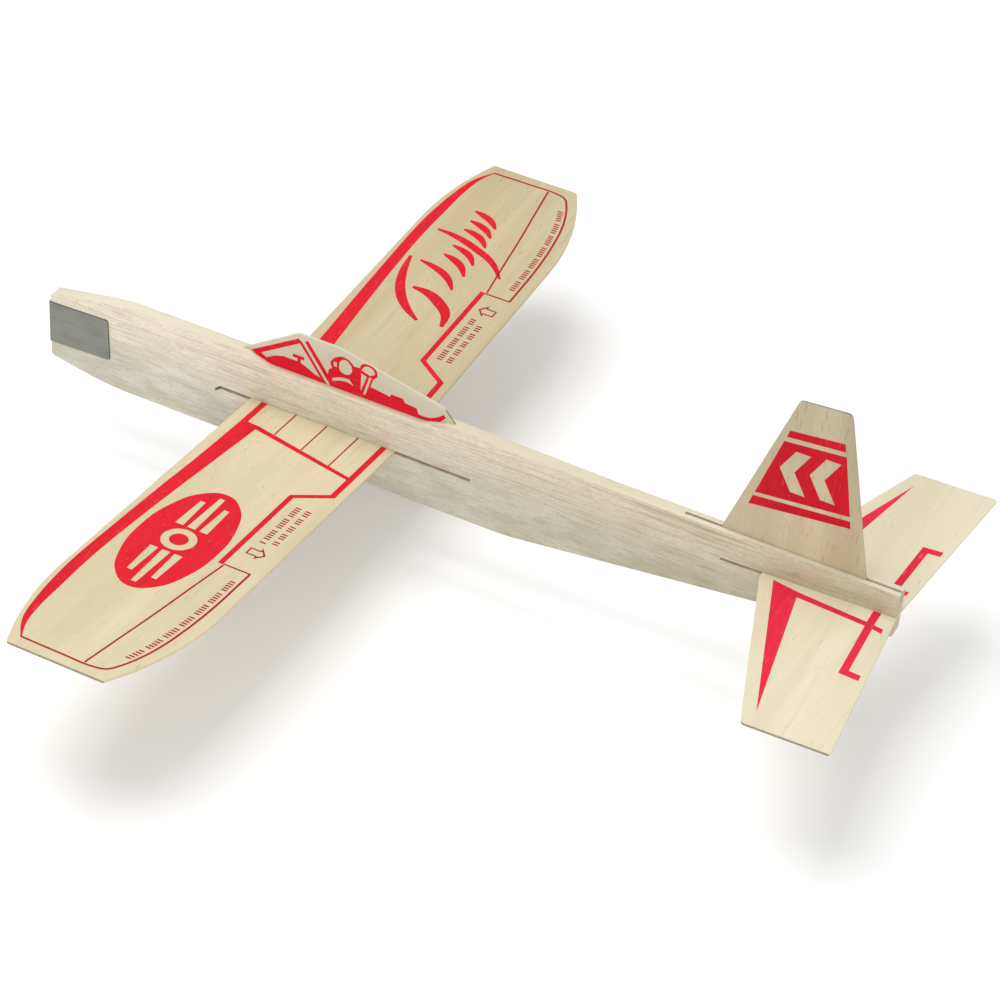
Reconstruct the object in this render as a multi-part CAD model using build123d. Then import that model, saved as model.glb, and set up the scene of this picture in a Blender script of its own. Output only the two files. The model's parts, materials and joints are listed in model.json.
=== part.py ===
"""Balsa hand glider: one shaped board for a fuselage, with a wing, a tailplane,
a fin and a canopy of thin sheet pushed into its cuts, and a steel weight folded
round its nose.

Millimetres. +X points to the nose, +Y to the left wing tip and +Z up. The origin
is on the ground under the middle of the overall length, in the fuselage's mid
plane. Lengths along the fuselage are given as stations, measured back from the
front face of the board.
"""
import os
from math import cos, radians, sin, tan

from build123d import *

# ------------------------------------------------------------ fuselage board
BOARD_LENGTH = 302.8
BOARD_THICKNESS = 4.8
DECK_HEIGHT = 34.2          # top edge above the belly, from the brow to the wing's rear
DECK_FALL_START = 150.0     # station where the top edge starts to fall
DECK_FALL_LENGTH = 60.0
DECK_FALL = 1.1             # how much lower the top edge is at the tail
BROW_STATION = 28.5         # where the sloping top of the nose meets the deck
NOSE_TOP = 28.9             # height of the nose's upper corner
NOSE_TOP_RADIUS = 1.5
BROW_RADIUS = 60.0
CHIN_HEIGHT = 4.2           # height of the nose's lower corner
CHIN_RADIUS = 1.5
CHIN_STATION = 22.0         # where the sloping chin meets the belly
CHIN_BLEND = 110.0
TAPER_START = 130.3         # ahead of the tail end, where the belly starts to rise
TAPER_BLEND = 60.0
TAIL_END_DEPTH = 16.3       # height of the board's rear face
TAIL_END_RADIUS = 1.5       # its lower corner

# ---------------------------------------------------------------- fit of sheets
SHEET_CLEARANCE = 0.05      # each side of a sheet in its cut
END_CLEARANCE = 0.3         # between a sheet's edge and the closed end of its cut

# ----------------------------------------------------------------------- wing
WING_SPAN = 304.8
WING_CHORD = 53.3
WING_THICKNESS = 0.9
WING_STATION = 77.6         # leading edge behind the nose
WING_SEAT_HEIGHT = 16.3     # middle of the sheet at the centre line, above the belly
WING_DIHEDRAL = 3.75        # degrees, each half
WING_FORWARD_TRAVEL = 11.4
WING_AFT_TRAVEL = 27.0
LEADING_TIP_RADIUS = 106.0  # large curve of each edge towards the tip
TRAILING_TIP_RADIUS = 90.0
LEADING_CURVE_LENGTH = 40.4  # inboard from the tip, where each curve begins
TRAILING_CURVE_LENGTH = 45.4
TIP_CORNER_RADIUS = 1.2
SLOT_HOOK_LENGTH = 2.0      # short downward flick at the slot's front end
SLOT_HOOK_DROP = 1.5

# ------------------------------------------------------------------ tailplane
TAIL_SPAN = 137.6
TAIL_THICKNESS = 0.9
TAIL_ROOT_CHORD = 43.8
TAIL_CENTRE_WIDTH = 9.0     # straight middle stretch of the leading edge
TAIL_TIP_CHORD = 28.0
TAIL_TRAILING_SWEEP = 6.4   # trailing edge: how far the tip is behind the root
TAIL_SEAT_HEIGHT = 24.05    # middle of the sheet where it leaves the board's rear face
TAIL_INCIDENCE = 1.7        # degrees, trailing edge up
TAIL_FORWARD_TRAVEL = 13.8
TAIL_CORNER_RADIUS = 1.8
TAIL_SHOULDER_RADIUS = 5.0

# ------------------------------------------------------------------------ fin
FIN_THICKNESS = 0.9
FIN_BASE_CHORD = 47.8
FIN_TOP_CHORD = 16.4
FIN_HEIGHT = 55.2           # leading corner above the deck
FIN_TOP_RISE = 1.3          # the top edge climbs this much to the rear
FIN_LEADING_SWEEP = 18.8    # top leading corner behind the base one
FIN_SETBACK = 11.8          # base trailing corner ahead of the board's rear face
FIN_TAB_DEPTH = 5.5
FIN_FORWARD_TRAVEL = 12.0
FIN_CORNER_RADIUS = 1.8

# --------------------------------------------------------------------- canopy
CANOPY_THICKNESS = 0.9
CANOPY_STATION = 73.1       # front corner at the deck
CANOPY_LENGTH = 77.7
CANOPY_HEIGHT = 13.3
CANOPY_SCREEN_LENGTH = 20.4  # how far back the raked screen reaches its top
CANOPY_ROOF_LENGTH = 15.0
CANOPY_STERN_HEIGHT = 4.9
CANOPY_STERN_LENGTH = 4.3
CANOPY_PEAK_RADIUS = 2.0    # where the screen meets the roof
CANOPY_ROOF_RADIUS = 12.0   # where the roof starts to fall
CANOPY_STERN_RADIUS = 3.0
CANOPY_TAB_DEPTH = 5.5
CANOPY_TAB_INSET = 3.0      # the tab is shorter than the base by this, each end
CANOPY_LIP_DROP = 2.5       # the cut's left lip is this much lower than the deck
CANOPY_LIP_RAMP = 8.0       # and climbs back to the deck over this, each end

# ---------------------------------------------------------------- nose weight
WEIGHT_THICKNESS = 0.45
WEIGHT_WRAP = 23.0          # length of each cheek behind the board's front face
WEIGHT_HEIGHT = 15.8
WEIGHT_CENTRE_HEIGHT = 17.9
WEIGHT_TILT = 2.0           # degrees, nose down
WEIGHT_BEND_RADIUS = 0.6    # outside of each fold
WEIGHT_CORNER_RADIUS = 0.8

# ------------------------------------------------------------- derived places
TAIL_OVERHANG = (
    TAIL_TRAILING_SWEEP * cos(radians(TAIL_INCIDENCE))
    + TAIL_THICKNESS / 2 * sin(radians(TAIL_INCIDENCE))
)
NOSE_X = (BOARD_LENGTH + TAIL_OVERHANG - WEIGHT_THICKNESS) / 2
TAIL_X = NOSE_X - BOARD_LENGTH
TAIL_DECK_HEIGHT = DECK_HEIGHT - DECK_FALL
WING_LEADING_X = NOSE_X - WING_STATION
WING_TRAILING_X = WING_LEADING_X - WING_CHORD
WING_VERTICAL_THICKNESS = WING_THICKNESS / cos(radians(WING_DIHEDRAL))
FIN_BASE_X = TAIL_X + FIN_SETBACK
CANOPY_FRONT_X = NOSE_X - CANOPY_STATION


def side_face(corners):
    """Face in the fuselage's mid plane from corners given as (x, z, radius)."""
    rounded = FilletPolyline(
        *[(x, z) for x, z, _ in corners], radius=[r for _, _, r in corners], close=True
    )
    return Plane.XZ * make_face(rounded)


def upright_sheet(corners, thickness):
    """Sheet of that side outline, centred on the mid plane."""
    return extrude(side_face(corners), amount=thickness / 2, both=True)


# ------------------------------------------------------------------------ wing
def wing_outline():
    """Plan of the wing: straight middle, both edges curving in to a straight tip."""
    half = WING_SPAN / 2
    front_drop = LEADING_TIP_RADIUS - (LEADING_TIP_RADIUS**2 - LEADING_CURVE_LENGTH**2) ** 0.5
    rear_drop = TRAILING_TIP_RADIUS - (TRAILING_TIP_RADIUS**2 - TRAILING_CURVE_LENGTH**2) ** 0.5
    front_start = (WING_LEADING_X, half - LEADING_CURVE_LENGTH)
    front_tip = (WING_LEADING_X - front_drop, half)
    rear_tip = (WING_TRAILING_X + rear_drop, half)
    rear_start = (WING_TRAILING_X, half - TRAILING_CURVE_LENGTH)
    edges = [
        Line((WING_LEADING_X, 0), front_start),
        TangentArc(front_start, front_tip, tangent=(0, 1)),
        Line(front_tip, rear_tip),
        TangentArc(rear_start, rear_tip, tangent=(0, 1)),
        Line(rear_start, (WING_TRAILING_X, 0)),
    ]
    return Sketch() + make_face(edges + [mirror(edge, about=Plane.XZ) for edge in edges])


def wing_section():
    """The V of the sheet seen from the nose, at the middle of its thickness."""
    half = WING_SPAN / 2
    rise = half * tan(radians(WING_DIHEDRAL))
    top = WING_SEAT_HEIGHT + WING_VERTICAL_THICKNESS / 2
    bottom = top - WING_VERTICAL_THICKNESS
    corners = [
        (-half, top + rise), (0, top), (half, top + rise),
        (half, bottom + rise), (0, bottom), (-half, bottom + rise),
    ]
    return Plane.YZ * make_face(Polyline(*corners, close=True))


def build_wing():
    blank = extrude(wing_section(), amount=NOSE_X + BOARD_LENGTH, both=True)
    plan = extrude(wing_outline(), amount=DECK_HEIGHT + WING_SPAN)
    wing = blank & plan
    tips = wing.edges().filter_by(Axis.Z).filter_by(
        lambda edge: abs(edge.center().Y) > WING_SPAN / 2 - TIP_CORNER_RADIUS
    )
    return fillet(tips, TIP_CORNER_RADIUS)


def wing_slot():
    """Straight cut through the board, with a hooked front end."""
    rise_at_side = BOARD_THICKNESS / 2 * tan(radians(WING_DIHEDRAL))
    bottom = WING_SEAT_HEIGHT - WING_VERTICAL_THICKNESS / 2 - SHEET_CLEARANCE
    top = WING_SEAT_HEIGHT + WING_VERTICAL_THICKNESS / 2 + rise_at_side + SHEET_CLEARANCE
    front = WING_LEADING_X + WING_FORWARD_TRAVEL + END_CLEARANCE
    rear = WING_TRAILING_X - WING_AFT_TRAVEL - END_CLEARANCE
    hook = front + SLOT_HOOK_LENGTH
    corners = [
        (rear, bottom), (front, bottom), (hook, bottom - SLOT_HOOK_DROP),
        (hook, top - SLOT_HOOK_DROP), (front, top), (rear, top),
    ]
    face = Plane.XZ * make_face(Polyline(*corners, close=True))
    return extrude(face, amount=BOARD_THICKNESS, both=True)


# ------------------------------------------------------------------- tailplane
def tail_seat():
    """Plane of the tailplane's middle: X forward along its slot, origin at its rear."""
    tilt = radians(TAIL_INCIDENCE)
    return Plane(
        origin=(TAIL_X, 0, TAIL_SEAT_HEIGHT),
        x_dir=(cos(tilt), 0, -sin(tilt)),
        z_dir=(sin(tilt), 0, cos(tilt)),
    )


def build_tailplane():
    half = TAIL_SPAN / 2
    left = [
        (TAIL_ROOT_CHORD, TAIL_CENTRE_WIDTH / 2, TAIL_SHOULDER_RADIUS),
        (TAIL_TIP_CHORD - TAIL_TRAILING_SWEEP, half, TAIL_CORNER_RADIUS),
        (-TAIL_TRAILING_SWEEP, half, TAIL_CORNER_RADIUS / 2),
    ]
    right = [(x, -y, r) for x, y, r in reversed(left)]
    corners = left + [(0, 0, 0)] + right
    rounded = FilletPolyline(
        *[(x, y) for x, y, _ in corners], radius=[r for _, _, r in corners], close=True
    )
    return extrude(tail_seat() * make_face(rounded), amount=TAIL_THICKNESS / 2, both=True)


def tail_slot():
    """Cut open at the board's rear face, longer than the tailplane's root."""
    depth = TAIL_ROOT_CHORD + TAIL_FORWARD_TRAVEL + END_CLEARANCE
    height = TAIL_THICKNESS + 2 * SHEET_CLEARANCE
    overrun = TAIL_THICKNESS
    block = Box(depth + overrun, 2 * BOARD_THICKNESS, height)
    return tail_seat() * Pos((depth - overrun) / 2, 0, 0) * block


# ------------------------------------------------------------------------- fin
def build_fin():
    base = TAIL_DECK_HEIGHT
    front = FIN_BASE_X + FIN_BASE_CHORD
    top_front = front - FIN_LEADING_SWEEP
    corners = [
        (FIN_BASE_X, base - FIN_TAB_DEPTH, 0),
        (front, base - FIN_TAB_DEPTH, 0),
        (front, base, 0),
        (top_front, base + FIN_HEIGHT, FIN_CORNER_RADIUS),
        (top_front - FIN_TOP_CHORD, base + FIN_HEIGHT + FIN_TOP_RISE, FIN_CORNER_RADIUS),
        (FIN_BASE_X, base, 0),
    ]
    return upright_sheet(corners, FIN_THICKNESS)


def fin_kerf():
    """Saw cut in the deck, open at the rear and longer than the fin in front."""
    front = FIN_BASE_X + FIN_BASE_CHORD + FIN_FORWARD_TRAVEL + END_CLEARANCE
    rear = TAIL_X - FIN_THICKNESS
    bottom = TAIL_DECK_HEIGHT - FIN_TAB_DEPTH - SHEET_CLEARANCE
    width = FIN_THICKNESS + 2 * SHEET_CLEARANCE
    block = Box(front - rear, width, DECK_HEIGHT, align=(Align.MIN, Align.CENTER, Align.MIN))
    return Pos(rear, 0, bottom) * block


# ---------------------------------------------------------------------- canopy
def build_canopy():
    base = DECK_HEIGHT
    front = CANOPY_FRONT_X
    rear = front - CANOPY_LENGTH
    top_front = front - CANOPY_SCREEN_LENGTH
    corners = [
        (rear + CANOPY_TAB_INSET, base - CANOPY_TAB_DEPTH, 0),
        (front - CANOPY_TAB_INSET, base - CANOPY_TAB_DEPTH, 0),
        (front - CANOPY_TAB_INSET, base, 0),
        (front, base, 0),
        (top_front, base + CANOPY_HEIGHT, CANOPY_PEAK_RADIUS),
        (top_front - CANOPY_ROOF_LENGTH, base + CANOPY_HEIGHT, CANOPY_ROOF_RADIUS),
        (rear + CANOPY_STERN_LENGTH, base + CANOPY_STERN_HEIGHT, CANOPY_STERN_RADIUS),
        (rear, base, 0),
        (rear + CANOPY_TAB_INSET, base, 0),
    ]
    return upright_sheet(corners, CANOPY_THICKNESS)


def canopy_kerf():
    """Saw cut in the deck, with its left lip trimmed so the sheet's printed face shows whole."""
    length = CANOPY_LENGTH - 2 * CANOPY_TAB_INSET + 2 * SHEET_CLEARANCE
    width = CANOPY_THICKNESS + 2 * SHEET_CLEARANCE
    depth = CANOPY_TAB_DEPTH + SHEET_CLEARANCE
    middle = CANOPY_FRONT_X - CANOPY_LENGTH / 2
    rear = middle - length / 2
    front = middle + length / 2
    kerf = Pos(middle, 0, DECK_HEIGHT) * Box(length, width, 2 * depth)
    lip = upright_sheet([
        (rear, DECK_HEIGHT, 0),
        (rear + CANOPY_LIP_RAMP, DECK_HEIGHT - CANOPY_LIP_DROP, 0),
        (front - CANOPY_LIP_RAMP, DECK_HEIGHT - CANOPY_LIP_DROP, 0),
        (front, DECK_HEIGHT, 0),
        (front, DECK_HEIGHT + CANOPY_LIP_DROP, 0),
        (rear, DECK_HEIGHT + CANOPY_LIP_DROP, 0),
    ], BOARD_THICKNESS)
    return kerf + Pos(0, BOARD_THICKNESS / 2, 0) * lip


# -------------------------------------------------------------------- fuselage
def build_fuselage():
    taper_x = TAIL_X + TAPER_START
    corners = [
        (NOSE_X, CHIN_HEIGHT, CHIN_RADIUS),
        (NOSE_X, NOSE_TOP, NOSE_TOP_RADIUS),
        (NOSE_X - BROW_STATION, DECK_HEIGHT, BROW_RADIUS),
        (NOSE_X - DECK_FALL_START, DECK_HEIGHT, 0),
        (NOSE_X - DECK_FALL_START - DECK_FALL_LENGTH, TAIL_DECK_HEIGHT, 0),
        (TAIL_X, TAIL_DECK_HEIGHT, 0),
        (TAIL_X, TAIL_DECK_HEIGHT - TAIL_END_DEPTH, TAIL_END_RADIUS),
        (taper_x, 0, TAPER_BLEND),
        (NOSE_X - CHIN_STATION, 0, CHIN_BLEND),
    ]
    board = upright_sheet(corners, BOARD_THICKNESS)
    return board - wing_slot() - tail_slot() - fin_kerf() - canopy_kerf()


# ----------------------------------------------------------------- nose weight
def build_nose_weight():
    """Strip folded in a U round the front face, flat on both sides of the board."""
    outer_width = BOARD_THICKNESS + 2 * WEIGHT_THICKNESS
    front = NOSE_X + WEIGHT_THICKNESS
    slope = tan(radians(WEIGHT_TILT))
    rear_rise = slope * (WEIGHT_WRAP + WEIGHT_THICKNESS)
    top = WEIGHT_CENTRE_HEIGHT + WEIGHT_HEIGHT / 2
    bottom = WEIGHT_CENTRE_HEIGHT - WEIGHT_HEIGHT / 2
    lean = slope * WEIGHT_HEIGHT / 2
    corners = [
        (front, bottom, 0),
        (front, top, 0),
        (NOSE_X - WEIGHT_WRAP + lean, top + rear_rise, WEIGHT_CORNER_RADIUS),
        (NOSE_X - WEIGHT_WRAP - lean, bottom + rear_rise, WEIGHT_CORNER_RADIUS),
    ]
    outer = upright_sheet(corners, outer_width)
    folds = outer.edges().filter_by(Axis.Z).group_by(Axis.X)[-1]
    outer = fillet(folds, WEIGHT_BEND_RADIUS)
    inside = Box(BOARD_LENGTH, BOARD_THICKNESS, 2 * DECK_HEIGHT)
    return outer - Pos(NOSE_X - BOARD_LENGTH / 2, 0, DECK_HEIGHT) * inside


NODES = {
    "fuselage": build_fuselage,
    "nose_weight": build_nose_weight,
    "wing": build_wing,
    "tailplane": build_tailplane,
    "fin": build_fin,
    "canopy": build_canopy,
}

os.makedirs("parts", exist_ok=True)
for name, build in NODES.items():
    export_step(build(), f"parts/{name}.step")
    print(name, "written")
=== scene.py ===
# %% [markdown]
# # A balsa hand glider
# A small hand-launched glider cut from thin balsa: a thick board for a body, four printed sheets
# that slide into saw cuts, and a folded steel clip that weights the nose.
# The exact solids come from the CAD model. They can't be moved, so every visible part below is
# a softened copy that stands in the same place, and the red print is a thin layer on top.

# %% Load the fixed frame
import json
import math
import bpy
from mathutils import Matrix, Vector

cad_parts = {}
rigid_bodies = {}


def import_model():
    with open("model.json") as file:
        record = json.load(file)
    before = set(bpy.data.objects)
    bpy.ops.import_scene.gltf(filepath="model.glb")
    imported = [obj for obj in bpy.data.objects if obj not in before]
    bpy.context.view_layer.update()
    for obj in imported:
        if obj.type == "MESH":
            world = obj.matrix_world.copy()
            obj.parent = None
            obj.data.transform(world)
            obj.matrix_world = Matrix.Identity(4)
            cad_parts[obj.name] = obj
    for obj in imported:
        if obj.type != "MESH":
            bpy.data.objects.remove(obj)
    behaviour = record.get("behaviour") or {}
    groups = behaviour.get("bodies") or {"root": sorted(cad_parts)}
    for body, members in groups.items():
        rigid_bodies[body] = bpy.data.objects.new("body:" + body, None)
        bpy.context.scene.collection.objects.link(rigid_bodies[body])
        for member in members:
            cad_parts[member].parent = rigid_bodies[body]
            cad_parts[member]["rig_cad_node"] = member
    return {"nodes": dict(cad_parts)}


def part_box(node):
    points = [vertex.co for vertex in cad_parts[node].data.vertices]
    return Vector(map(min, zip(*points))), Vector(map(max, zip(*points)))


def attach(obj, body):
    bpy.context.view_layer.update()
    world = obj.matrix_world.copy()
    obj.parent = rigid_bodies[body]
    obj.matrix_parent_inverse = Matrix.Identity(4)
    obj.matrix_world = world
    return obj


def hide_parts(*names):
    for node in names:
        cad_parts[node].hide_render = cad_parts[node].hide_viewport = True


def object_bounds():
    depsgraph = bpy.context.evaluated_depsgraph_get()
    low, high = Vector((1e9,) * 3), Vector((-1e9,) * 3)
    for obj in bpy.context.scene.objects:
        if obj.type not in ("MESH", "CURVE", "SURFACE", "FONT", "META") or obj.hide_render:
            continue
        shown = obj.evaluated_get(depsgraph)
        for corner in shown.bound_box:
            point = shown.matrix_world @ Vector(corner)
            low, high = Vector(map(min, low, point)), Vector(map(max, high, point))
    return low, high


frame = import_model()
cad_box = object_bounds()
MM = 0.001
bpy.ops.object.select_all(action="DESELECT")
print("loaded nodes:", ", ".join(sorted(frame["nodes"])))
print("overall size in mm:", [round(side / MM, 1) for side in (cad_box[1] - cad_box[0])])

# %% [markdown]
# ## The camera
# A long lens a metre away keeps the glider's proportions honest: a short lens would make the
# near wing tip huge. The camera looks down on the rear left quarter, and it is rolled a few
# degrees, so that the body runs across the frame on a slant.
# Placing it by an aim point, a distance and two angles is easier to adjust than raw positions.

# %% Place the camera
AIM_POINT = Vector((-16.9, 6.6, 17.0)) * MM
CAMERA_DISTANCE = 984 * MM
CAMERA_AZIMUTH = math.radians(204.5)
CAMERA_ELEVATION = math.radians(38.22)
CAMERA_ROLL = math.radians(4.81)
CAMERA_LENS = 112.6

back = Vector((
    math.sin(CAMERA_AZIMUTH) * math.cos(CAMERA_ELEVATION),
    -math.cos(CAMERA_AZIMUTH) * math.cos(CAMERA_ELEVATION),
    math.sin(CAMERA_ELEVATION),
))
level_right = Vector((math.cos(CAMERA_AZIMUTH), math.sin(CAMERA_AZIMUTH), 0))
level_up = back.cross(level_right)
right = level_right * math.cos(CAMERA_ROLL) + level_up * math.sin(CAMERA_ROLL)
up = back.cross(right)
turn = Matrix((right, up, back)).transposed()

camera_data = bpy.data.cameras.new("glider_camera")
camera_data.lens = CAMERA_LENS
camera_data.sensor_width = 36
camera_data.clip_start = 0.01
camera = bpy.data.objects.new("glider_camera", camera_data)
bpy.context.scene.collection.objects.link(camera)
camera.matrix_world = Matrix.Translation(AIM_POINT + back * CAMERA_DISTANCE) @ turn.to_4x4()
bpy.context.scene.camera = camera
print("camera at", [round(c, 3) for c in camera.location], "looking at", [round(c, 3) for c in AIM_POINT])

# %% [markdown]
# ## The floor and the light
# A toy like this is shown on a seamless white sweep. One big plane is enough for that, because
# the camera never sees its edge. It lies a little below the glider, as if the glider hung on
# a thread, so the shadow parts from the body and softens.
# One large soft lamp above gives shape and the shadow, a weaker one lights the side that faces
# the camera, and a white world fills what is left.
# The Standard view keeps white paper white and red ink strong.

# %% Lay the floor and hang the lamps
FLOOR_DROP = 24 * MM
bpy.ops.mesh.primitive_plane_add(size=12, location=(0, 0, cad_box[0].z - FLOOR_DROP))
floor = bpy.context.object
floor.name = "floor"

floor_paper = bpy.data.materials.new("white_paper")
floor_paper.use_nodes = True
floor_shader = floor_paper.node_tree.nodes["Principled BSDF"]
floor_shader.inputs["Base Color"].default_value = (0.95, 0.95, 0.95, 1)
floor_shader.inputs["Roughness"].default_value = 0.9
floor_shader.inputs["Specular IOR Level"].default_value = 0.1
floor.data.materials.append(floor_paper)

world = bpy.data.worlds.new("studio_air")
world.use_nodes = True
world_shader = world.node_tree.nodes["Background"]
world_shader.inputs["Color"].default_value = (0.96, 0.972, 1.0, 1)
world_shader.inputs["Strength"].default_value = 0.70
bpy.context.scene.world = world


def soft_lamp(name, place, size, watts, colour):
    """A square lamp at a place in metres, turned towards the glider."""
    lamp_data = bpy.data.lights.new(name, "AREA")
    lamp_data.shape = "SQUARE"
    lamp_data.size = size
    lamp_data.energy = watts
    lamp_data.color = colour
    lamp = bpy.data.objects.new(name, lamp_data)
    bpy.context.scene.collection.objects.link(lamp)
    lamp.location = place
    lamp.rotation_euler = (-Vector(place)).to_track_quat("-Z", "Y").to_euler()
    return lamp


soft_lamp("top_lamp", (0.36, 0.04, 1.35), 0.95, 11.5, (1.0, 0.99, 0.975))
soft_lamp("rear_lamp", (-0.7, 1.3, 0.7), 1.2, 7, (1.0, 0.99, 0.975))

bpy.context.scene.view_settings.view_transform = "Standard"
bpy.context.scene.view_settings.look = "None"
print("floor", round(FLOOR_DROP / MM), "mm below the belly, 2 lamps and a white world")

# %% [markdown]
# ## Small helpers
# Blender's operators act on whatever is selected, so each job starts by selecting one piece only.
# A finished piece keeps its place inside its mesh: its object stays at the origin, unturned.

# %% Helpers for picking and settling a piece
def work_on(piece):
    """Select one piece and nothing else."""
    bpy.ops.object.select_all(action="DESELECT")
    piece.select_set(True)
    bpy.context.view_layer.objects.active = piece


def settle(piece):
    """Put the object's place, turn and size into its mesh."""
    work_on(piece)
    bpy.ops.object.transform_apply(location=True, rotation=True, scale=True)


def weld(piece):
    """Join points that lie on each other and turn every face outwards."""
    work_on(piece)
    bpy.ops.object.mode_set(mode="EDIT")
    bpy.ops.mesh.select_all(action="SELECT")
    bpy.ops.mesh.remove_doubles(threshold=0.002 * MM)
    bpy.ops.mesh.normals_make_consistent(inside=False)
    bpy.ops.object.mode_set(mode="OBJECT")


def size_in_mm(piece):
    """The piece's outer size, for printing."""
    return [round(side / MM, 2) for side in piece.dimensions]


print("helpers ready")

# %% [markdown]
# ## Balsa
# Balsa is the palest, softest hardwood. Close up it is a cream ground with long soft streaks,
# fine fibres, and many short brown vessel lines, all running one way.
# Four noise textures make that: each is squeezed across the grain and stretched along it.
# They read Object coordinates, so the grain has its real scale on every part, and the same
# recipe serves every sheet by naming another grain axis.

# %% A recipe for balsa
def new_material(name):
    """An empty material, with its node tree and its surface shader."""
    material = bpy.data.materials.new(name)
    material.use_nodes = True
    return material, material.node_tree, material.node_tree.nodes["Principled BSDF"]


def give_bump(tree, shader, height, strength, depth):
    """Let a value raise the surface. depth is in millimetres."""
    bump = tree.nodes.new("ShaderNodeBump")
    bump.inputs["Strength"].default_value = strength
    bump.inputs["Distance"].default_value = depth * MM
    tree.links.new(height, bump.inputs["Height"])
    tree.links.new(bump.outputs["Normal"], shader.inputs["Normal"])


def stretched_noise(tree, grain, along, across, detail, offset):
    """Noise drawn out along the grain. along and across are features per metre."""
    coordinates = tree.nodes.new("ShaderNodeTexCoord")
    mapping = tree.nodes.new("ShaderNodeMapping")
    scale = [across, across, across]
    scale["xyz".index(grain)] = along
    mapping.inputs["Scale"].default_value = scale
    mapping.inputs["Location"].default_value = (offset, offset * 1.7, offset * 0.6)
    noise = tree.nodes.new("ShaderNodeTexNoise")
    noise.inputs["Scale"].default_value = 1.0
    noise.inputs["Detail"].default_value = detail
    noise.inputs["Roughness"].default_value = 0.55
    tree.links.new(coordinates.outputs["Object"], mapping.inputs["Vector"])
    tree.links.new(mapping.outputs["Vector"], noise.inputs["Vector"])
    return noise.outputs["Fac"]


def ramp(tree, value, low, high):
    """Spread the part of a value between low and high over 0 to 1."""
    spread = tree.nodes.new("ShaderNodeMapRange")
    spread.interpolation_type = "SMOOTHSTEP"
    spread.inputs["From Min"].default_value = low
    spread.inputs["From Max"].default_value = high
    tree.links.new(value, spread.inputs["Value"])
    return spread.outputs["Result"]


def blend_colours(tree, amount, first, second, how="MIX"):
    """Mix two colours. Each is a socket or three numbers. amount is a socket, or None for all."""
    mix = tree.nodes.new("ShaderNodeMix")
    mix.data_type = "RGBA"
    mix.blend_type = how
    for socket, given in ((mix.inputs[6], first), (mix.inputs[7], second)):
        if isinstance(given, tuple):
            socket.default_value = (*given, 1)
        else:
            tree.links.new(given, socket)
    if amount is None:
        mix.inputs[0].default_value = 1.0
    else:
        tree.links.new(amount, mix.inputs[0])
    return mix.outputs[2]


def scaled(tree, value, factor):
    """A value times a number."""
    times = tree.nodes.new("ShaderNodeMath")
    times.operation = "MULTIPLY"
    times.inputs[1].default_value = factor
    tree.links.new(value, times.inputs[0])
    return times.outputs[0]


def added(tree, first, second):
    """Two values added."""
    plus = tree.nodes.new("ShaderNodeMath")
    plus.operation = "ADD"
    tree.links.new(first, plus.inputs[0])
    tree.links.new(second, plus.inputs[1])
    return plus.outputs[0]


def multiplied(tree, first, second):
    """Two values multiplied."""
    times = tree.nodes.new("ShaderNodeMath")
    times.operation = "MULTIPLY"
    tree.links.new(first, times.inputs[0])
    tree.links.new(second, times.inputs[1])
    return times.outputs[0]


def between(tree, value, low, high):
    """A value from 0 to 1, laid out from low to high."""
    spread = tree.nodes.new("ShaderNodeMapRange")
    spread.inputs["To Min"].default_value = low
    spread.inputs["To Max"].default_value = high
    tree.links.new(value, spread.inputs["Value"])
    return spread.outputs["Result"]


def tone_along(tree, axis, start, end):
    """0 at start and 1 at end, in metres along an axis of the piece."""
    coordinates = tree.nodes.new("ShaderNodeTexCoord")
    split = tree.nodes.new("ShaderNodeSeparateXYZ")
    tree.links.new(coordinates.outputs["Object"], split.inputs["Vector"])
    return ramp(tree, split.outputs["XYZ".index(axis)], start, end)


print("balsa tools ready")

# %% [markdown]
# The colours below are linear, as Blender's sockets expect. Each sheet gets its own ground, because
# sheets are cut from different planks: the tail is nearly white, the fin is pinker.
# The bump is tiny, a tenth of a millimetre, just enough to break the light on the fibres.

# %% Make the balsa materials
def balsa(name, grain, ground, streak, vessel, offset, vessel_share=0.62, painted_shade=None):
    """A plain balsa surface with its grain along the axis named."""
    material, tree, shader = new_material(name)
    broad = stretched_noise(tree, grain, 7, 70, 3, offset)
    bands = stretched_noise(tree, grain, 16, 420, 4, offset + 3)
    fibre = stretched_noise(tree, grain, 60, 2600, 3, offset + 7)
    vessels = stretched_noise(tree, grain, 170, 2100, 2, offset + 11)
    colour = blend_colours(tree, ramp(tree, broad, 0.35, 0.7), ground, streak)
    darker_ground = tuple(part * 0.86 for part in ground)
    banded = scaled(tree, ramp(tree, bands, 0.5, 0.72), 0.7)
    colour = blend_colours(tree, banded, colour, darker_ground)
    fibrous = scaled(tree, ramp(tree, fibre, 0.45, 0.8), 0.35)
    colour = blend_colours(tree, fibrous, colour, streak)
    marks = ramp(tree, vessels, vessel_share, vessel_share + 0.12)
    colour = blend_colours(tree, scaled(tree, marks, 0.55), colour, vessel)
    # The last argument darkens one end of the piece along an axis: painted shade, not a change in the
    # wood.
    if painted_shade:
        axis, start, end, tint = painted_shade
        tinted = blend_colours(tree, None, colour, tint, "MULTIPLY")
        colour = blend_colours(tree, tone_along(tree, axis, start, end), colour, tinted)
    tree.links.new(colour, shader.inputs["Base Color"])
    roughness = between(tree, ramp(tree, fibre, 0.2, 0.8), 0.62, 0.88)
    tree.links.new(roughness, shader.inputs["Roughness"])
    height = added(tree, scaled(tree, fibre, 0.6), scaled(tree, marks, -0.5))
    give_bump(tree, shader, height, 0.35, 0.12)
    shader.inputs["Specular IOR Level"].default_value = 0.25
    return material


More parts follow.
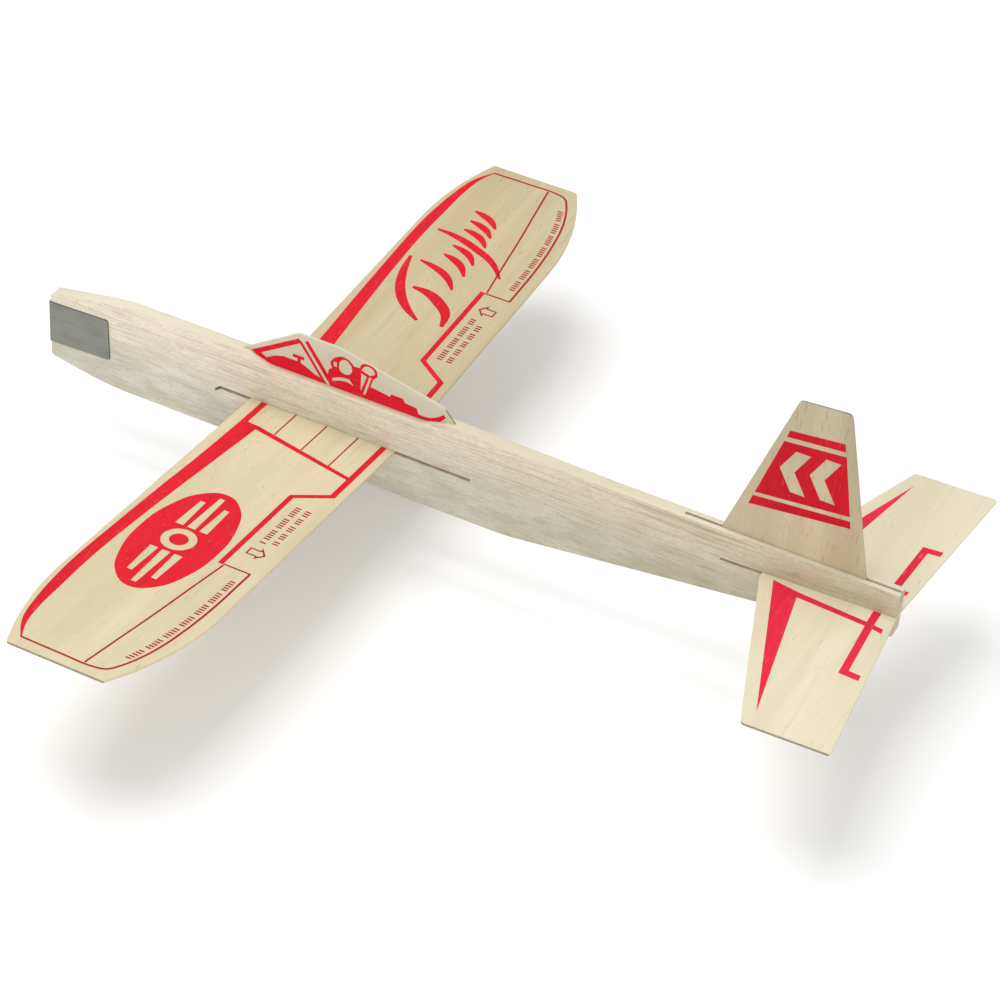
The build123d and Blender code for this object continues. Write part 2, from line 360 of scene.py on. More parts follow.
VESSEL_BROWN = (0.33, 0.22, 0.12)
# The right wing half is darkened: painted shade, for the light that falls more on the left half's lean.
wing_wood = balsa("wing_balsa", "y", (0.65, 0.565, 0.385), (0.57, 0.485, 0.305),
                  VESSEL_BROWN, 21.0, 0.64, ("Y", 0.03, -0.03, (0.85, 0.82, 0.76)))
tail_wood = balsa("tail_balsa", "y", (0.71, 0.645, 0.475), (0.64, 0.575, 0.405),
                  VESSEL_BROWN, 38.0, 0.66)
# The fin is darkened towards its top: painted shade, so that its foot reads as lit by light bounced off
# the tail.
fin_wood = balsa("fin_balsa", "z", (0.61, 0.51, 0.345), (0.50, 0.41, 0.27),
                 (0.30, 0.21, 0.13), 55.0, 0.60, ("Z", 0.035, 0.085, (0.80, 0.84, 0.82)))
canopy_wood = balsa("canopy_balsa", "x", (0.64, 0.59, 0.46), (0.56, 0.52, 0.39),
                    (0.42, 0.35, 0.25), 72.0, 0.64)
print("balsa materials:", [m.name for m in bpy.data.materials if "balsa" in m.name])

# %% [markdown]
# The board is thicker and rougher than the sheets, and it is sawn so that its side shows much more
# figure: long thin brown streaks that crowd towards the deck, a mottled grey-green field below,
# and a few ochre stains. The streaks are the same stretched noise, finer and stronger, and their
# strength follows the height on the board. The wood also darkens a little towards the tail.

# %% Make the board's balsa
GREY_GREEN = (0.67, 0.655, 0.54)
DULL_GREEN = (0.55, 0.53, 0.42)
PINK_AND_PAINTED_BOUNCE = (0.86, 0.77, 0.62)
SPECKLE_GREY = (0.42, 0.40, 0.31)
OCHRE = (0.52, 0.41, 0.21)
STREAK_BROWN = (0.50, 0.385, 0.275)
HAIR_BROWN = (0.34, 0.285, 0.20)
FLECK_BROWN = (0.30, 0.21, 0.13)
REAR_TINT = (0.72, 0.70, 0.62)


def board_balsa(name):
    """The thick board: streaky at the top, mottled below, darker to the rear, and paler pink up high,
    partly painted bounce light.
    """
    material, tree, shader = new_material(name)
    mottle = stretched_noise(tree, "x", 60, 170, 4, 2.0)
    speckle = stretched_noise(tree, "x", 700, 1500, 3, 23.0)
    streaks = stretched_noise(tree, "x", 20, 1500, 5, 5.0)
    hairs = stretched_noise(tree, "x", 75, 3600, 3, 9.0)
    stains = stretched_noise(tree, "x", 90, 170, 2, 14.0)
    flecks = stretched_noise(tree, "x", 150, 2400, 2, 17.0)
    high_on_board = tone_along(tree, "Z", 0.008, 0.033)
    mottled = ramp(tree, mottle, 0.35, 0.65)
    colour = blend_colours(tree, mottled, GREY_GREEN, DULL_GREEN)
    # Paler pink higher on the board: partly the wood's own pink tone, partly painted light bounced up
    # from the wing and the tail.
    colour = blend_colours(tree, scaled(tree, high_on_board, 0.8), colour, PINK_AND_PAINTED_BOUNCE)
    speckled = scaled(tree, ramp(tree, speckle, 0.4, 0.75), 0.35)
    colour = blend_colours(tree, speckled, colour, SPECKLE_GREY)
    stained = scaled(tree, ramp(tree, stains, 0.62, 0.76), 0.45)
    colour = blend_colours(tree, stained, colour, OCHRE)
    crowding = between(tree, high_on_board, 0.2, 0.85)
    streaked = multiplied(tree, ramp(tree, streaks, 0.48, 0.72), crowding)
    colour = blend_colours(tree, streaked, colour, STREAK_BROWN)
    hairy = scaled(tree, ramp(tree, hairs, 0.5, 0.74), 0.7)
    colour = blend_colours(tree, hairy, colour, HAIR_BROWN)
    flecked = scaled(tree, ramp(tree, flecks, 0.64, 0.76), 0.4)
    colour = blend_colours(tree, flecked, colour, FLECK_BROWN)
    rear_colour = blend_colours(tree, None, colour, REAR_TINT, "MULTIPLY")
    to_rear = tone_along(tree, "X", 0.09, -0.13)
    colour = blend_colours(tree, to_rear, colour, rear_colour)
    tree.links.new(colour, shader.inputs["Base Color"])
    tree.links.new(between(tree, hairs, 0.65, 0.9), shader.inputs["Roughness"])
    height = added(tree, scaled(tree, hairs, 0.7), scaled(tree, streaks, 0.5))
    give_bump(tree, shader, height, 0.5, 0.16)
    shader.inputs["Specular IOR Level"].default_value = 0.2
    return material


board_wood = board_balsa("board_balsa_side")
# The deck is the same balsa with plainer grain; its paler ground is painted top light.
lit_deck_wood = balsa("deck_balsa_painted_top_light", "x", (0.70, 0.64, 0.50), (0.60, 0.53, 0.38),
                  VESSEL_BROWN, 29.0, 0.64)
print("board material has", len(board_wood.node_tree.nodes), "nodes")

# %% [markdown]
# Where a saw or a knife cuts across the fibres, the wood shows their open ends. They drink in
# light and dirt, so this face is darker and speckled, not streaked.
# A second recipe with even noise does that, and it goes only on faces that look along the grain.

# %% Make the end grain
def end_grain(name, ground, pit, offset):
    """Balsa cut across the grain: small dark pits in a dull ground."""
    material, tree, shader = new_material(name)
    pits = stretched_noise(tree, "x", 2600, 2600, 3, offset)
    cloud = stretched_noise(tree, "x", 260, 260, 2, offset + 5)
    darker = tuple(part * 0.82 for part in ground)
    colour = blend_colours(tree, ramp(tree, cloud, 0.4, 0.6), ground, darker)
    pitted = scaled(tree, ramp(tree, pits, 0.5, 0.66), 0.7)
    colour = blend_colours(tree, pitted, colour, pit)
    tree.links.new(colour, shader.inputs["Base Color"])
    give_bump(tree, shader, pits, 0.5, 0.15)
    shader.inputs["Roughness"].default_value = 0.9
    shader.inputs["Specular IOR Level"].default_value = 0.15
    return material


board_end = end_grain("board_end_grain", (0.64, 0.54, 0.38), (0.34, 0.26, 0.17), 90.0)
sheet_end = end_grain("sheet_end_grain", (0.34, 0.29, 0.21), (0.20, 0.16, 0.11), 97.0)
saw_cut = end_grain("saw_cut_wood", (0.64, 0.53, 0.39), (0.44, 0.34, 0.23), 103.0)
print("end grain materials ready")

# %% [markdown]
# ## Soften each wooden part
# A CAD solid has perfect edges, and real balsa has none: a thumb rounds them. A Bevel modifier of
# about a tenth of a millimetre catches a thin line of light on every corner.
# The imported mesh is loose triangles, so its copy is welded first, and flat triangles are
# dissolved into whole faces, or else the bevel would follow every diagonal.

# %% Copy and soften a node
END_FACE = 1
CUT_FACE = 2
DECK_FACE = 3


def softened_copy(node_name, piece_name, radius, body):
    """A welded copy of a CAD node with rounded edges, standing in for it."""
    work_on(frame["nodes"][node_name])
    bpy.ops.object.duplicate()
    piece = bpy.context.object
    piece.name = piece_name
    piece.data.name = piece_name
    bpy.ops.object.parent_clear(type="CLEAR_KEEP_TRANSFORM")
    del piece["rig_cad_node"]
    bpy.ops.mesh.customdata_custom_splitnormals_clear()
    bpy.ops.object.mode_set(mode="EDIT")
    bpy.ops.mesh.select_all(action="SELECT")
    bpy.ops.mesh.remove_doubles(threshold=0.005 * MM)
    bpy.ops.mesh.dissolve_limited(angle_limit=math.radians(0.5))
    bpy.ops.mesh.mark_sharp(clear=True)
    bpy.ops.object.mode_set(mode="OBJECT")
    bevel = piece.modifiers.new("worn_edges", "BEVEL")
    bevel.width = radius
    bevel.segments = 2
    bevel.limit_method = "ANGLE"
    bevel.angle_limit = math.radians(35)
    bevel.use_clamp_overlap = True
    bpy.ops.object.modifier_apply(modifier=bevel.name)
    bpy.ops.object.shade_smooth_by_angle(angle=math.radians(30))
    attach(piece, body)
    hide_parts(node_name)
    return piece


def paint_faces(piece, side_material, end_material, looks_along):
    """The side material everywhere, and the end material on faces that look along an axis."""
    piece.data.materials.clear()
    piece.data.materials.append(side_material)
    piece.data.materials.append(end_material)
    axis = "xyz".index(looks_along)
    ends = [face for face in piece.data.polygons if abs(face.normal[axis]) > 0.75]
    for face in ends:
        face.material_index = END_FACE
    return len(ends)


print("softening tools ready")

# %% [markdown]
# ## The body board
# One thick stick of balsa with a pointed nose, saw cuts for the canopy, wing, tail and fin, and
# a curved belly. Its grain runs from nose to tail.
# Its faces take four materials: the side, the ends, the walls of the cuts, and the deck, whose paler
# ground is painted top light.

# %% The body board
SHEET_THICKNESS = 0.9
NEAR_WING = 3 * MM
NEAR_TAIL = 1 * MM
wing_low, wing_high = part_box("wing")
tail_low, tail_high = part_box("tailplane")
fin_low, fin_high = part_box("fin")
canopy_low, canopy_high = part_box("canopy")


def in_a_cut(face):
    """Whether a face is a wall of a cut: upright near the middle, or level by a sheet."""
    if abs(face.normal.y) > 0.7:
        return abs(face.center.y) < SHEET_THICKNESS * MM
    height = face.center.z
    by_wing = abs(height - wing_low.z) < NEAR_WING
    by_tail = tail_low.z - NEAR_TAIL < height < tail_high.z + NEAR_TAIL
    by_tail = by_tail and face.center.x < fin_high.x
    return abs(face.normal.z) > 0.7 and (by_wing or by_tail)


board = softened_copy("fuselage", "body_board", 0.14 * MM, "fuselage")
ends = paint_faces(board, board_wood, board_end, "x")
board.data.materials.append(saw_cut)
board.data.materials.append(lit_deck_wood)
for face in board.data.polygons:
    if face.normal.z > 0.7 and face.center.z > canopy_low.z:
        face.material_index = DECK_FACE
walls = [face for face in board.data.polygons if in_a_cut(face)]
for face in walls:
    face.material_index = CUT_FACE
print("body board", size_in_mm(board), "mm,", ends, "end-grain faces,", len(walls), "cut walls")

# %% [markdown]
# ## The four sheets
# The wing and the tail are cut with their grain across the glider, which keeps them from
# snapping. The fin's grain runs up, and the canopy's runs along the body.

# %% Wing, tail, fin and canopy
SHEET_EDGE = 0.10 * MM
for node_name, piece_name, wood, grain in (
    ("wing", "wing_sheet", wing_wood, "y"),
    ("tailplane", "tail_sheet", tail_wood, "y"),
    ("fin", "fin_sheet", fin_wood, "z"),
    ("canopy", "canopy_sheet", canopy_wood, "x"),
):
    sheet = softened_copy(node_name, piece_name, SHEET_EDGE, node_name)
    paint_faces(sheet, wood, sheet_end, grain)
    print(sheet.name, size_in_mm(sheet), "mm")

# %% [markdown]
# ## The nose weight
# A strip of soft steel folded round the nose. It is dull, faintly rolled along its length, and
# darker where hands and the press touched it. A metal shader with uneven roughness reads as
# steel even under flat light.

# %% The nose weight
BRIGHT_STEEL = (0.265, 0.268, 0.235)
DULL_STEEL = (0.22, 0.223, 0.195)
WORN_STEEL = (0.19, 0.192, 0.168)
FOLD_LENGTH = 1.5 * MM


def rolled_steel(name):
    """Dull steel with faint rolling lines and cloudy wear."""
    material, tree, shader = new_material(name)
    lines = stretched_noise(tree, "x", 30, 1500, 4, 120.0)
    cloud = stretched_noise(tree, "x", 90, 140, 3, 127.0)
    colour = blend_colours(tree, ramp(tree, lines, 0.3, 0.75), BRIGHT_STEEL, DULL_STEEL)
    clouded = scaled(tree, ramp(tree, cloud, 0.45, 0.7), 0.6)
    colour = blend_colours(tree, clouded, colour, WORN_STEEL)
    tree.links.new(colour, shader.inputs["Base Color"])
    shader.inputs["Metallic"].default_value = 0.9
    tree.links.new(between(tree, cloud, 0.36, 0.6), shader.inputs["Roughness"])
    give_bump(tree, shader, lines, 0.15, 0.04)
    return material


steel = rolled_steel("nose_steel")
# The clip's rim faces are painted near-black: painted shade, a dark line along the edges where the
# strip's thickness lies in shade.
painted_shade_rim = end_grain("steel_rim_painted_shade", (0.05, 0.05, 0.042), (0.03, 0.03, 0.025), 130.0)
fold_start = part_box("fuselage")[1].x - FOLD_LENGTH
clip = softened_copy("nose_weight", "nose_clip", 0.05 * MM, "fuselage")
clip.data.materials.clear()
clip.data.materials.append(steel)
clip.data.materials.append(painted_shade_rim)
rim_count = 0
for face in clip.data.polygons:
    on_the_fold = face.center.x > fold_start and abs(face.normal.z) < 0.3
    if abs(face.normal.y) < 0.85 and not on_the_fold:
        face.material_index = END_FACE
        rim_count += 1
print("nose clip", size_in_mm(clip), "mm,", rim_count, "rim faces")

# %% [markdown]
# ## Red print
# The sheets are printed before they are cut. Ink on balsa sinks in unevenly: it is strong on the
# smooth fibres and thin in the vessel lines, where the wood shows through.
# A picture could be laid on the sheet, but shapes cut from outlines stay sharp at any distance.
# Each outline is a flat curve, given a hair of depth and made a mesh.

# %% A recipe for ink on balsa
def ink(name, grain, red, deep, bare, offset):
    """Red ink that lets the grain of the wood below show through."""
    material, tree, shader = new_material(name)
    broad = stretched_noise(tree, grain, 12, 160, 3, offset)
    fibre = stretched_noise(tree, grain, 60, 2600, 3, offset + 7)
    vessels = stretched_noise(tree, grain, 200, 2100, 2, offset + 11)
    colour = blend_colours(tree, ramp(tree, broad, 0.35, 0.7), red, deep)
    fibrous = scaled(tree, ramp(tree, fibre, 0.45, 0.8), 0.4)
    colour = blend_colours(tree, fibrous, colour, deep)
    marks = ramp(tree, vessels, 0.62, 0.74)
    colour = blend_colours(tree, scaled(tree, marks, 0.35), colour, bare)
    tree.links.new(colour, shader.inputs["Base Color"])
    tree.links.new(between(tree, fibre, 0.55, 0.8), shader.inputs["Roughness"])
    give_bump(tree, shader, fibre, 0.3, 0.1)
    shader.inputs["Specular IOR Level"].default_value = 0.1
    return material


wing_ink = ink("wing_red_ink", "y",
               (0.66, 0.012, 0.026), (0.56, 0.009, 0.020), (0.62, 0.22, 0.15), 140.0)
rule_ink = ink("rule_red_ink", "y",
               (0.36, 0.020, 0.022), (0.30, 0.016, 0.018), (0.48, 0.22, 0.14), 147.0)
tail_ink = ink("tail_red_ink", "y",
               (0.72, 0.024, 0.058), (0.63, 0.018, 0.046), (0.70, 0.26, 0.20), 154.0)
fin_ink = ink("fin_red_ink", "z",
              (0.56, 0.008, 0.020), (0.47, 0.006, 0.016), (0.50, 0.14, 0.09), 161.0)
canopy_ink = ink("canopy_red_ink", "x",
                 (0.74, 0.010, 0.030), (0.62, 0.008, 0.024), (0.62, 0.22, 0.16), 168.0)
print("ink materials:", [m.name for m in bpy.data.materials if "ink" in m.name])

# %% [markdown]
# An outline is a list of points in millimetres. A point made by `corners` stays sharp, and one
# made by `bends` is rounded, so a few points draw a long curve.
# Where one outline lies inside another, Blender leaves the inner one open, like a stencil.

# %% Helpers for outlines
INK_DEPTH = 0.05
INK_PROUD = 0.025
INK_LIFT = (INK_PROUD - INK_DEPTH / 2) * MM


def corners(*points):
    """Points where an outline turns sharply."""
    return [(x, y, "VECTOR") for x, y in points]


def bends(*points):
    """Points that an outline passes smoothly."""
    return [(x, y, "AUTO") for x, y in points]


def printed(name, outlines, material):
    """Outlines in millimetres, filled and given the ink's depth, as a welded mesh on the flat."""
    curve = bpy.data.curves.new(name, "CURVE")
    curve.dimensions = "2D"
    curve.fill_mode = "BOTH"
    curve.extrude = INK_DEPTH * MM / 2
    curve.resolution_u = 5
    for outline in outlines:
        spline = curve.splines.new("BEZIER")
        spline.bezier_points.add(len(outline) - 1)
        for point, (x, y, handle) in zip(spline.bezier_points, outline):
            point.co = (x * MM, y * MM, 0)
            point.handle_left_type = handle
            point.handle_right_type = handle
        spline.use_cyclic_u = True
    piece = bpy.data.objects.new(name, curve)
    bpy.context.scene.collection.objects.link(piece)
    work_on(piece)
    bpy.ops.object.convert(target="MESH")
    piece = bpy.context.object
    weld(piece)
    piece.data.materials.clear()
    piece.data.materials.append(material)
    return piece


def flip_across(piece):
    """Mirror a print to the other side, and turn its faces outwards again."""
    piece.scale = (1, -1, 1)
    settle(piece)
    weld(piece)
    return piece


def mirrored_copy(piece, name):
    """The same print on the other side of the glider, with a mesh of its own."""
    work_on(piece)
    bpy.ops.object.duplicate()
    twin = bpy.context.object
    twin.name = name
    twin.data.name = name
    return flip_across(twin)


def print_on(piece, body):
    """Fix a settled print to the sheet it is printed on."""
    settle(piece)
    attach(piece, body)
    return piece


print("outline tools ready")

# %% [markdown]
# Each sheet has its own seat for the print. The wing halves rise from the middle like a shallow
# V, so a print is drawn on the flat, leaned to that angle, and slid up to the sheet's face.
# Prints on a half are drawn with x as the distance from the trailing edge and y as the distance
# from the middle of the glider. The angle itself is worked out from the wing's box.

# %% Seats for the prints
wing_rise = (wing_high.z - wing_low.z) / MM - SHEET_THICKNESS
wing_lean = math.atan2(wing_rise, wing_high.y / MM)
wing_middle_top = wing_low.z + SHEET_THICKNESS * MM / math.cos(wing_lean)


def lay_on_wing(piece, side):
    """Lean a flat print onto a wing half: side is 1 for the left half and -1 for the right."""
    piece.rotation_euler = (side * wing_lean, 0, 0)
    piece.scale = (1, 1 / math.cos(wing_lean), 1)
    piece.location = (wing_low.x, 0, wing_middle_top + INK_LIFT)
    return print_on(piece, "wing")


print("wing halves lean", round(math.degrees(wing_lean), 2), "degrees")

# %% [markdown]
# ### The broad red border
# A stripe follows the leading edge and tapers at the tip, a slanted bar marks the wing's root,
# and a bar runs out along the trailing edge and steps up. It is one outline, so no seam shows.

# %% The wing border
HALF_BOARD = 2.45
border_outline = (
    corners((47.0, HALF_BOARD), (49.2, HALF_BOARD), (49.2, 15))
    + bends((49.7, 40), (50.6, 60), (51.4, 85), (51.8, 110), (51.2, 120), (49.9, 131), (47.6, 141))
    + corners((43.2, 148.5), (43.0, 147.9))
    + bends((45.3, 142.5), (46.7, 135), (47.4, 120), (47.8, 104), (47.2, 84), (45.8, 60), (44.2, 38))
    + corners((42.7, 17.3), (4.7, 25.2), (4.7, 35.2), (15.2, 42.4), (15.2, 85.3), (13.4, 85.3),
              (13.4, 43.2), (2.7, 36.0), (2.7, HALF_BOARD), (4.7, HALF_BOARD), (4.7, 23.6),
              (42.5, 15.2), (47.0, 14.8))
)
border_left = printed("wing_border_left", [border_outline], wing_ink)
lay_on_wing(border_left, 1)
print_on(mirrored_copy(border_left, "wing_border_right"), "wing")
print("border", len(border_left.data.polygons), "faces,", size_in_mm(border_left), "mm")

# %% [markdown]
# ### The fine rules
# Thin lines close the panel at the tip, frame the strip behind it, and cross the wing's root as
# trim marks. Thin lines take less ink, so they are a browner red.
# A helper gives a line its width by stepping half of it to both sides.

# %% The fine rules
def sides_of(points, widths):
    """Points half a width to each side of a line, given the width at each of its points."""
    left_side = []
    right_side = []
    for index, (x, y) in enumerate(points):
        before = Vector(points[max(index - 1, 0)])
        after = Vector(points[min(index + 1, len(points) - 1)])
        step = (after - before).normalized() * (widths[index] / 2)
        left_side.append((x - step.y, y + step.x))
        right_side.append((x + step.y, y - step.x))
    right_side.reverse()
    return left_side, right_side


def ribbon(points, widths):
    """The outline of a line of changing width: sharp at its ends and smooth between them."""
    left_side, right_side = sides_of(points, widths)
    return (corners(left_side[0]) + bends(*left_side[1:-1]) + corners(left_side[-1], right_side[0])
            + bends(*right_side[1:-1]) + corners(right_side[-1]))


def stroke(points, width):
    """The outline of an even line."""
    return ribbon(points, [width] * len(points))


REAR_CURVE = [(4.0, 85.3), (4.1, 93), (4.2, 101), (4.7, 111), (5.6, 120), (7.2, 130),
              (9.5, 138), (12.2, 144)]
TIP_LINE = [(14.3, 147.0), (17.5, 148.2), (29, 148.4), (43.1, 148.2)]
INNER_CURVE = [(13.0, 85.6), (14.9, 100), (17.4, 120), (19.0, 131), (21.4, 147.9)]
rules = [
    stroke(REAR_CURVE + TIP_LINE, 0.75),
    stroke(INNER_CURVE, 0.65),
    stroke([(3.9, 85.0), (13.3, 85.0)], 0.65),
    stroke([(36.2, HALF_BOARD), (36.2, 16.5)], 0.5),
    stroke([(24.8, HALF_BOARD), (24.8, 19.0)], 0.5),
    stroke([(13.2, HALF_BOARD), (13.2, 21.6)], 0.5),
]
rules_left = printed("wing_rules_left", rules, rule_ink)
lay_on_wing(rules_left, 1)
print_on(mirrored_copy(rules_left, "wing_rules_right"), "wing")
print("rules:", len(rules), "lines,", len(rules_left.data.polygons), "faces")

# %% [markdown]
# ### The left badge
# A red oval carries a plain emblem left open in bare wood: a disc between two stacks of bars, like
# a pair of wings. It is one stencil, with the emblem's outlines inside the oval's.

# %% The left badge
BADGE_CENTRE = (31.0, 82.0)
BADGE_HALF = (13.8, 28.3)


def oval(centre, half, count=12):
    """A smooth closed oval."""
    points = []
    for step in range(count):
        turn_by = math.tau * step / count
        points.append((centre[0] + half[0] * math.cos(turn_by),
                       centre[1] + half[1] * math.sin(turn_by)))
    return bends(*points)


RING_HALF = (5.6, 5.6)
DISC_HALF = (3.0, 3.0)
BAR_HEIGHT = 2.8
BAR_START = 7.0
badge = [oval(BADGE_CENTRE, half) for half in (BADGE_HALF, RING_HALF, DISC_HALF)]
for level, length in ((4.3, 14.0), (0.0, 18.5), (-4.3, 14.0)):
    for side in (-1, 1):
        start = BADGE_CENTRE[1] + side * BAR_START
        end = start + side * length
        low = BADGE_CENTRE[0] + level - BAR_HEIGHT / 2
        high = low + BAR_HEIGHT
        badge.append(corners((low, start), (high, start), (high - 0.5, end), (low + 0.5, end)))
badge_piece = lay_on_wing(printed("wing_badge_left", badge, wing_ink), 1)
print("badge", size_in_mm(badge_piece), "mm,", len(badge) - 1, "openings and islands")

# %% [markdown]
# ### The right flourish
# The right half carries a row of brush strokes that lean towards the tip: one tall sweep,
# then shorter leaves, one of them long, as quick as handwriting but spelling nothing.
# A brush stroke is a line whose width swells in the middle and thins towards its ends.

# %% The right flourish
def brush(points, width):
    """A line that is a third as wide at its ends as in its middle."""
    last = len(points) - 1
    swell = [math.sin(math.pi * index / last) for index in range(last + 1)]
    return ribbon(points, [width * (0.32 + 0.68 * amount) for amount in swell])


flourish = [
    brush([(45.5, 91.0), (43.2, 81.0), (38.8, 71.5), (33.0, 65.0), (26.5, 60.5)], 3.6),
    brush([(36.5, 76.0), (30.5, 75.5), (24.5, 72.5), (19.6, 68.0), (17.6, 61.5)], 4.2),
    brush([(41.5, 90.5), (34.5, 89.0), (28.5, 86.0), (24.0, 81.0)], 3.0),
    brush([(36.0, 97.5), (32.0, 96.5), (27.5, 94.0), (24.0, 89.5)], 3.0),
    brush([(35.8, 103.5), (31.5, 102.5), (27.5, 100.5), (24.2, 96.5)], 2.8),
    brush([(44.8, 109.0), (38.0, 108.5), (28.0, 105.5), (19.0, 101.0), (12.8, 94.5)], 3.0),
    brush([(36.8, 113.5), (33.0, 113.0), (28.5, 111.0), (25.2, 107.5)], 2.8),
    brush([(37.2, 119.0), (33.5, 118.3), (29.5, 116.5), (26.2, 113.3)], 2.8),
    brush([(38.3, 124.8), (34.8, 124.0), (30.5, 122.0), (27.2, 118.8)], 2.8),
]
flourish_flat = flip_across(printed("wing_flourish_right", flourish, wing_ink))
flourish_piece = lay_on_wing(flourish_flat, -1)
print("flourish of", len(flourish), "strokes,", size_in_mm(flourish_piece), "mm")

# %% [markdown]
# ### The trim marks
# Beside the trailing edge each half has a small hollow arrow, pointing the way that the wing is
# slid to change the flight, and rows of short ticks. The ticks stand where a maker prints
# instructions, and they keep the rhythm of small type without saying anything.

# %% The trim marks
TICK_WIDTH = 0.6
TICK_STEP = 1.2
TICK_HEIGHT = 2.0
WARP_GAP = 1.3
WARP_HEIGHT = 1.9


def tick_row(start, end, foot, height, gaps):
    """A row of upright ticks from start to end, with a pause after each count in gaps."""
    row = []
    place = start
    count = 0
    while place < end:
        bottom = foot(place)
        row.append(corners((bottom, place), (bottom + height, place),
                           (bottom + height, place + TICK_WIDTH), (bottom, place + TICK_WIDTH)))
        count += 1
        pause = TICK_STEP if count % gaps == 0 else 0.0
        place += TICK_STEP + pause
    return row


def curve_height(points, place):
    """How far a curve lies from the trailing edge at a place along the span."""
    for (x0, y0), (x1, y1) in zip(points, points[1:]):
        if y0 <= place <= y1:
            return x0 + (x1 - x0) * (place - y0) / (y1 - y0)
    return points[-1][0]


def hollow_arrow(tip, direction, middle):
    """An arrow outline along the chord, with a smaller one inside it."""
    shape = [(0, 0), (2.7, 3.2), (2.7, 1.75), (6.2, 1.75),
             (6.2, -1.75), (2.7, -1.75), (2.7, -3.2)]
    inside = [(0.85, 0), (2.2, 1.75), (2.2, 1.2), (5.65, 1.2),
              (5.65, -1.2), (2.2, -1.2), (2.2, -1.75)]
    outlines = []
    for part in (shape, inside):
        outlines.append(corners(*[(tip - direction * x, middle + y) for x, y in part]))
    return outlines


def warp_ticks():
    """Small ticks that follow the strip behind the panel."""
    def foot(place):
        return curve_height(REAR_CURVE, place) + WARP_GAP

    return tick_row(91, 141, foot, WARP_HEIGHT, 5)


left_marks = hollow_arrow(4.7, -1, 74.7)
left_marks += tick_row(47, 69, lambda place: 8.2, TICK_HEIGHT, 5)
left_marks += tick_row(47, 68, lambda place: 4.6, TICK_HEIGHT, 3)
left_marks += warp_ticks()
right_marks = hollow_arrow(11.3, 1, 76.3)
right_marks += tick_row(46, 71, lambda place: 9.0, TICK_HEIGHT, 5)
right_marks += tick_row(46, 70, lambda place: 5.5, TICK_HEIGHT, 3)
right_marks += warp_ticks()
lay_on_wing(printed("trim_marks_left", left_marks, rule_ink), 1)
lay_on_wing(flip_across(printed("trim_marks_right", right_marks, rule_ink)), -1)
print("trim marks:", len(left_marks) - 2, "ticks on the left,", len(right_marks) - 2, "on the right")

# %% [markdown]
# ## The tail print
# Each tail half has a long wedge along its leading edge, a bar that runs back beside the body, and
# a bar across that ends in a foot. The tail sits nose-down by a degree or two, so the print
# is tipped with it. x is measured from the tail's rear edge.

# %% The tail print
TAIL_TIP_ANGLE = math.radians(1.7)
tail_outline = corners(
    (45.7, 4.0), (25.7, 62.5), (36.2, 8.2), (13.1, 10.4), (11.8, 34.4), (5.2, 34.9), (5.4, 32.4),
    (9.4, 32.0), (10.6, 10.7), (7.4, 11.4), (7.6, 9.2), (10.8, 8.7), (10.9, HALF_BOARD),
    (13.5, HALF_BOARD), (13.3, 8.3), (36.2, 5.8),
)
tail_left = printed("tail_print_left", [tail_outline], tail_ink)
tail_left.rotation_euler = (0, TAIL_TIP_ANGLE, 0)
tail_left.location = (tail_low.x, 0, tail_high.z + INK_LIFT)
print_on(tail_left, "tailplane")
print_on(mirrored_copy(tail_left, "tail_print_right"), "tailplane")
print("tail print", size_in_mm(tail_left), "mm on each half")

# %% [markdown]
# ## The fin print
# The fin has a red panel with two bold chevrons left open, and a stripe above and below it.
# It is drawn on the flat as seen from the left, then stood up against the fin's face.

# %% The fin print
def chevron(nose, middle, reach, half_height, thickness):
    """A bold arrowhead without a shaft, pointing forward."""
    top = middle + half_height
    bottom = middle - half_height
    back_edge = nose - reach - thickness
    return corners((nose, middle), (nose - reach, top), (back_edge, top),
                   (nose - thickness, middle), (back_edge, bottom), (nose - reach, bottom))


def stand_on(piece, low, high, body):
    """Stand a flat print up against the left face of an upright sheet."""
    piece.rotation_euler = (math.radians(90), 0, 0)
    piece.location = (low.x, high.y + INK_LIFT, low.z)
    return print_on(piece, body)


fin_outlines = [
    corners((30.7, 49.2), (13.2, 51.2), (12.7, 48.4), (31.4, 46.6)),
    corners((32.0, 44.8), (12.2, 46.8), (8.2, 26.0), (38.8, 22.8)),
    corners((39.3, 21.4), (7.9, 24.4), (7.4, 21.8), (40.3, 17.9)),
    chevron(32.2, 34.9, 4.4, 7.6, 4.8),
    chevron(22.6, 35.9, 4.4, 7.6, 4.8),
]
fin_print = stand_on(printed("fin_print", fin_outlines, fin_ink), fin_low, fin_high, "fin")
print("fin print", size_in_mm(fin_print), "mm")

# %% [markdown]
# ## The canopy print
# The thin sheet above the deck is printed with a cockpit: a windscreen frame with a sight behind it,
# a strut, and a pilot in a helmet in front of a headrest. The figure is a plain sign, made
# of an outline with openings for the face, the sleeve and the headrest.

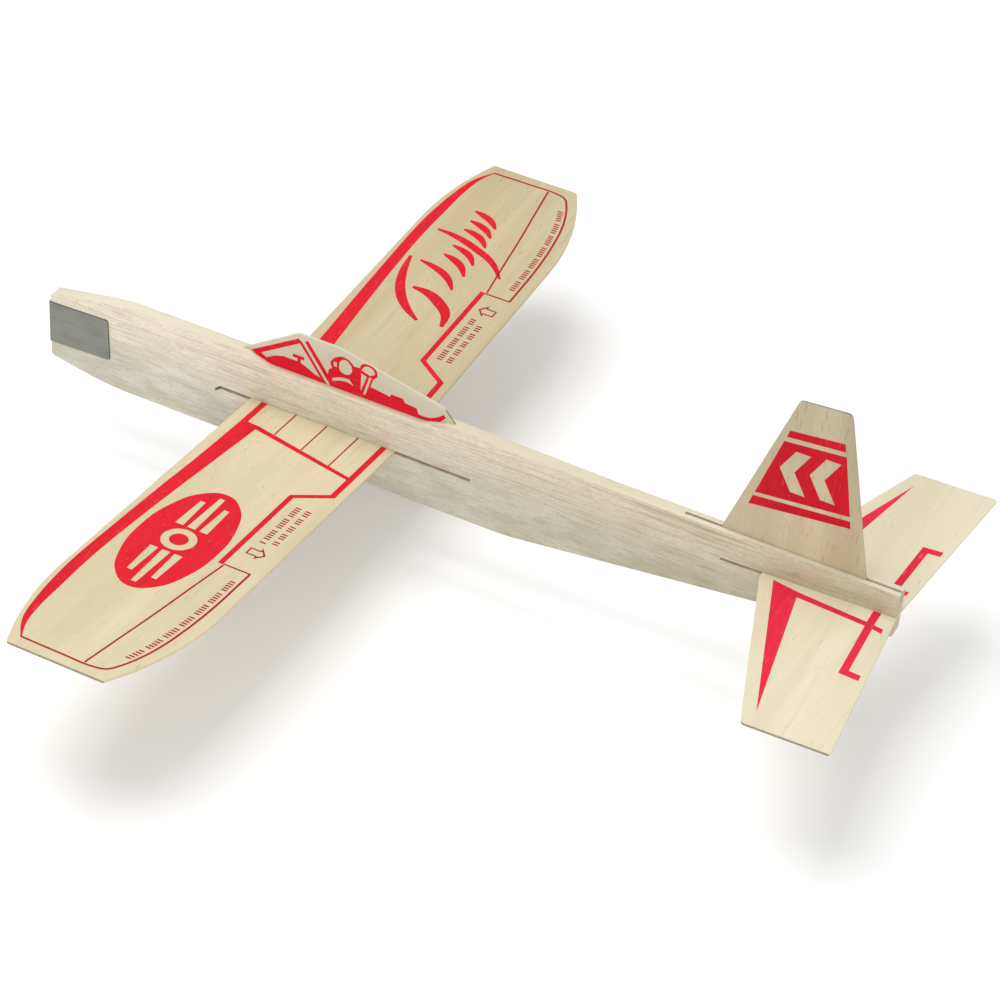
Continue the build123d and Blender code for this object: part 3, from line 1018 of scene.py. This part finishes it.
# %% The canopy print
windscreen = (
    corners((74.4, 6.0), (57.3, 16.9), (55.9, 15.9), (46.4, 3.1), (66.4, 3.1))
    + bends((71.4, 4.1))
)
windscreen_opening = corners(
    (70.9, 6.2), (56.7, 15.2), (48.9, 4.8), (50.8, 5.2), (54.4, 7.0), (56.2, 7.7),
    (56.2, 9.1), (55.0, 9.1), (55.0, 10.3), (59.2, 10.3), (59.2, 9.1), (57.5, 9.1),
    (57.5, 7.9), (62.6, 7.9), (65.8, 6.9), (69.0, 5.0),
)
cockpit = (
    corners((55.0, 16.5), (53.8, 17.3), (46.2, 7.2), (45.9, 9.4), (44.7, 10.2))
    + bends((45.4, 12.0), (44.6, 13.8), (42.9, 15.3), (40.2, 16.0), (37.8, 14.9))
    + corners((36.9, 13.9), (34.8, 14.1))
    + bends((34.0, 15.8), (31.3, 16.5), (28.7, 15.2))
    + corners((28.3, 13.2), (29.8, 11.4), (30.7, 8.4), (23.6, 7.3), (23.0, 8.4), (18.9, 8.4), (18.0, 7.0),
              (13.9, 6.6), (12.9, 4.5))
    + bends((9.4, 4.7), (6.2, 6.2))
    + corners((4.2, 7.9), (3.3, 7.0))
    + bends((5.3, 4.8), (8.7, 3.5))
    + corners((12.0, 3.1), (45.1, 3.1))
)
face_opening = bends((42.2, 12.0), (41.9, 13.9), (40.2, 15.1), (38.3, 14.1), (37.5, 12.0), (38.3, 10.2),
                     (40.2, 9.6), (41.8, 10.3))
goggle_opening = corners((44.3, 12.9), (43.1, 13.0), (43.1, 11.3), (44.1, 11.2))
sleeve_opening = (
    corners((44.4, 5.3), (44.6, 6.4)) + bends((41.6, 7.7))
    + corners((38.4, 8.2), (36.6, 6.2)) + bends((39.0, 6.8), (41.6, 6.4))
)
headrest_opening = (
    corners((34.1, 13.4)) + bends((33.0, 15.3), (31.2, 15.7), (29.5, 14.7))
    + corners((29.3, 13.5), (30.9, 12.5))
)
behind_seat = corners((34.2, 12.4), (32.1, 11.6), (34.1, 5.3))
tube_opening = corners((31.3, 11.7), (30.4, 11.9), (32.3, 4.6), (33.2, 4.4))
canopy_outlines = [
    windscreen, windscreen_opening, cockpit, face_opening, goggle_opening,
    sleeve_opening, headrest_opening, behind_seat, tube_opening,
]
canopy_flat = printed("canopy_print", canopy_outlines, canopy_ink)
canopy_print = stand_on(canopy_flat, canopy_low, canopy_high, "canopy")
print("canopy print", size_in_mm(canopy_print), "mm")

# %% [markdown]
# ## Finish

# %% Finish
bpy.ops.object.select_all(action="DESELECT")
